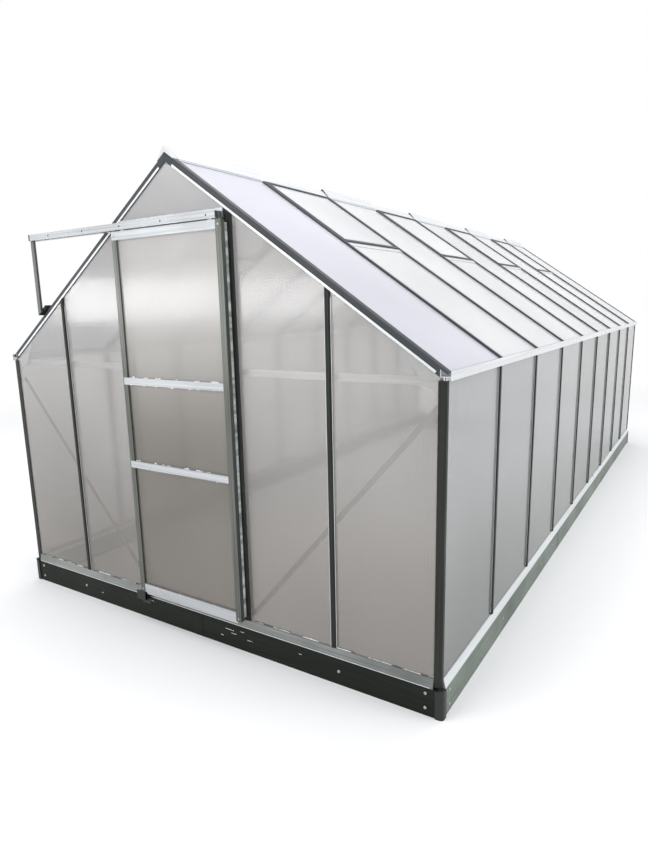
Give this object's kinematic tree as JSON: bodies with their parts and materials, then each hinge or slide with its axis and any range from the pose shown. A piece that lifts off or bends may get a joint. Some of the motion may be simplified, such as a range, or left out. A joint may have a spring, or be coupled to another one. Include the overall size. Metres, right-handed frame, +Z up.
{
  "type": "polycarbonate greenhouse",
  "caption": "Walk-in gable-roofed greenhouse: aluminium bars and clear twin-wall sheets on a steel skirt, with roof vents and a sliding door on an outside track.",
  "frame": {"origin": "on the ground, under the centre of the whole", "axes": "+Z up, +Y along the ridge from the door gable to the rear gable, +X to the right seen from the door"},
  "size_m": [2.58, 5.562, 2.24],
  "materials": {
    "skirt_steel": "galvanised steel, weathered dark grey-green",
    "bar_aluminium": "extruded aluminium, dark grey",
    "bright_aluminium": "mill-finish extruded aluminium",
    "black_plastic": "moulded black plastic",
    "grey_plastic": "moulded light grey plastic",
    "soft_seal": "clear flexible plastic strip",
    "zinc_steel": "zinc-plated steel",
    "wall_sheet": "twin-wall polycarbonate, translucent with fine flutes",
    "roof_sheet": "twin-wall polycarbonate, translucent with fine flutes"
  },
  "bodies": {
    "building": {"base_front": "skirt_steel", "base_rear": "skirt_steel", "base_left": "skirt_steel", "base_right": "skirt_steel", "base_corners": "black_plastic", "sill_front": "bright_aluminium", "sill_rear": "bright_aluminium", "sill_left": "bright_aluminium", "sill_right": "bright_aluminium", "corner_posts": "bar_aluminium", "front_studs": "bar_aluminium", "door_posts": "bar_aluminium", "rear_studs": "bar_aluminium", "left_studs": "bar_aluminium", "right_studs": "bar_aluminium", "left_gutter": "bright_aluminium", "right_gutter": "bright_aluminium", "ridge_beam": "bright_aluminium", "ridge_covers": "bright_aluminium", "ridge_end_caps": "grey_plastic", "gable_rafters": "bar_aluminium", "left_roof_bars": "bar_aluminium", "right_roof_bars": "bar_aluminium", "gable_tie_bars": "bright_aluminium", "corner_plates": "bright_aluminium", "gable_braces": "bright_aluminium", "door_header": "bright_aluminium", "door_track": "bright_aluminium", "track_strut": "bar_aluminium", "track_fittings": "black_plastic", "door_guide": "grey_plastic", "door_seal": "soft_seal", "front_sheets": "wall_sheet", "rear_sheets": "wall_sheet", "left_wall_sheets": "wall_sheet", "right_wall_sheets": "wall_sheet", "left_roof_sheets": "roof_sheet", "right_roof_sheets": "roof_sheet", "vent_crossbars": "bright_aluminium", "vent_frames": "bar_aluminium", "vent_sheets": "roof_sheet"},
    "door": {"door_stiles": "bar_aluminium", "door_top_rail": "bright_aluminium", "door_middle_rails": "bright_aluminium", "door_bottom_rail": "bright_aluminium", "door_sheets": "wall_sheet", "door_hangers": "zinc_steel"}
  },
  "joints": [
    {"name": "door_slide", "type": "slide", "parent": "building", "child": "door", "axis": [-1, 0, 0], "range_m": [0, 0.615]}
  ]
}
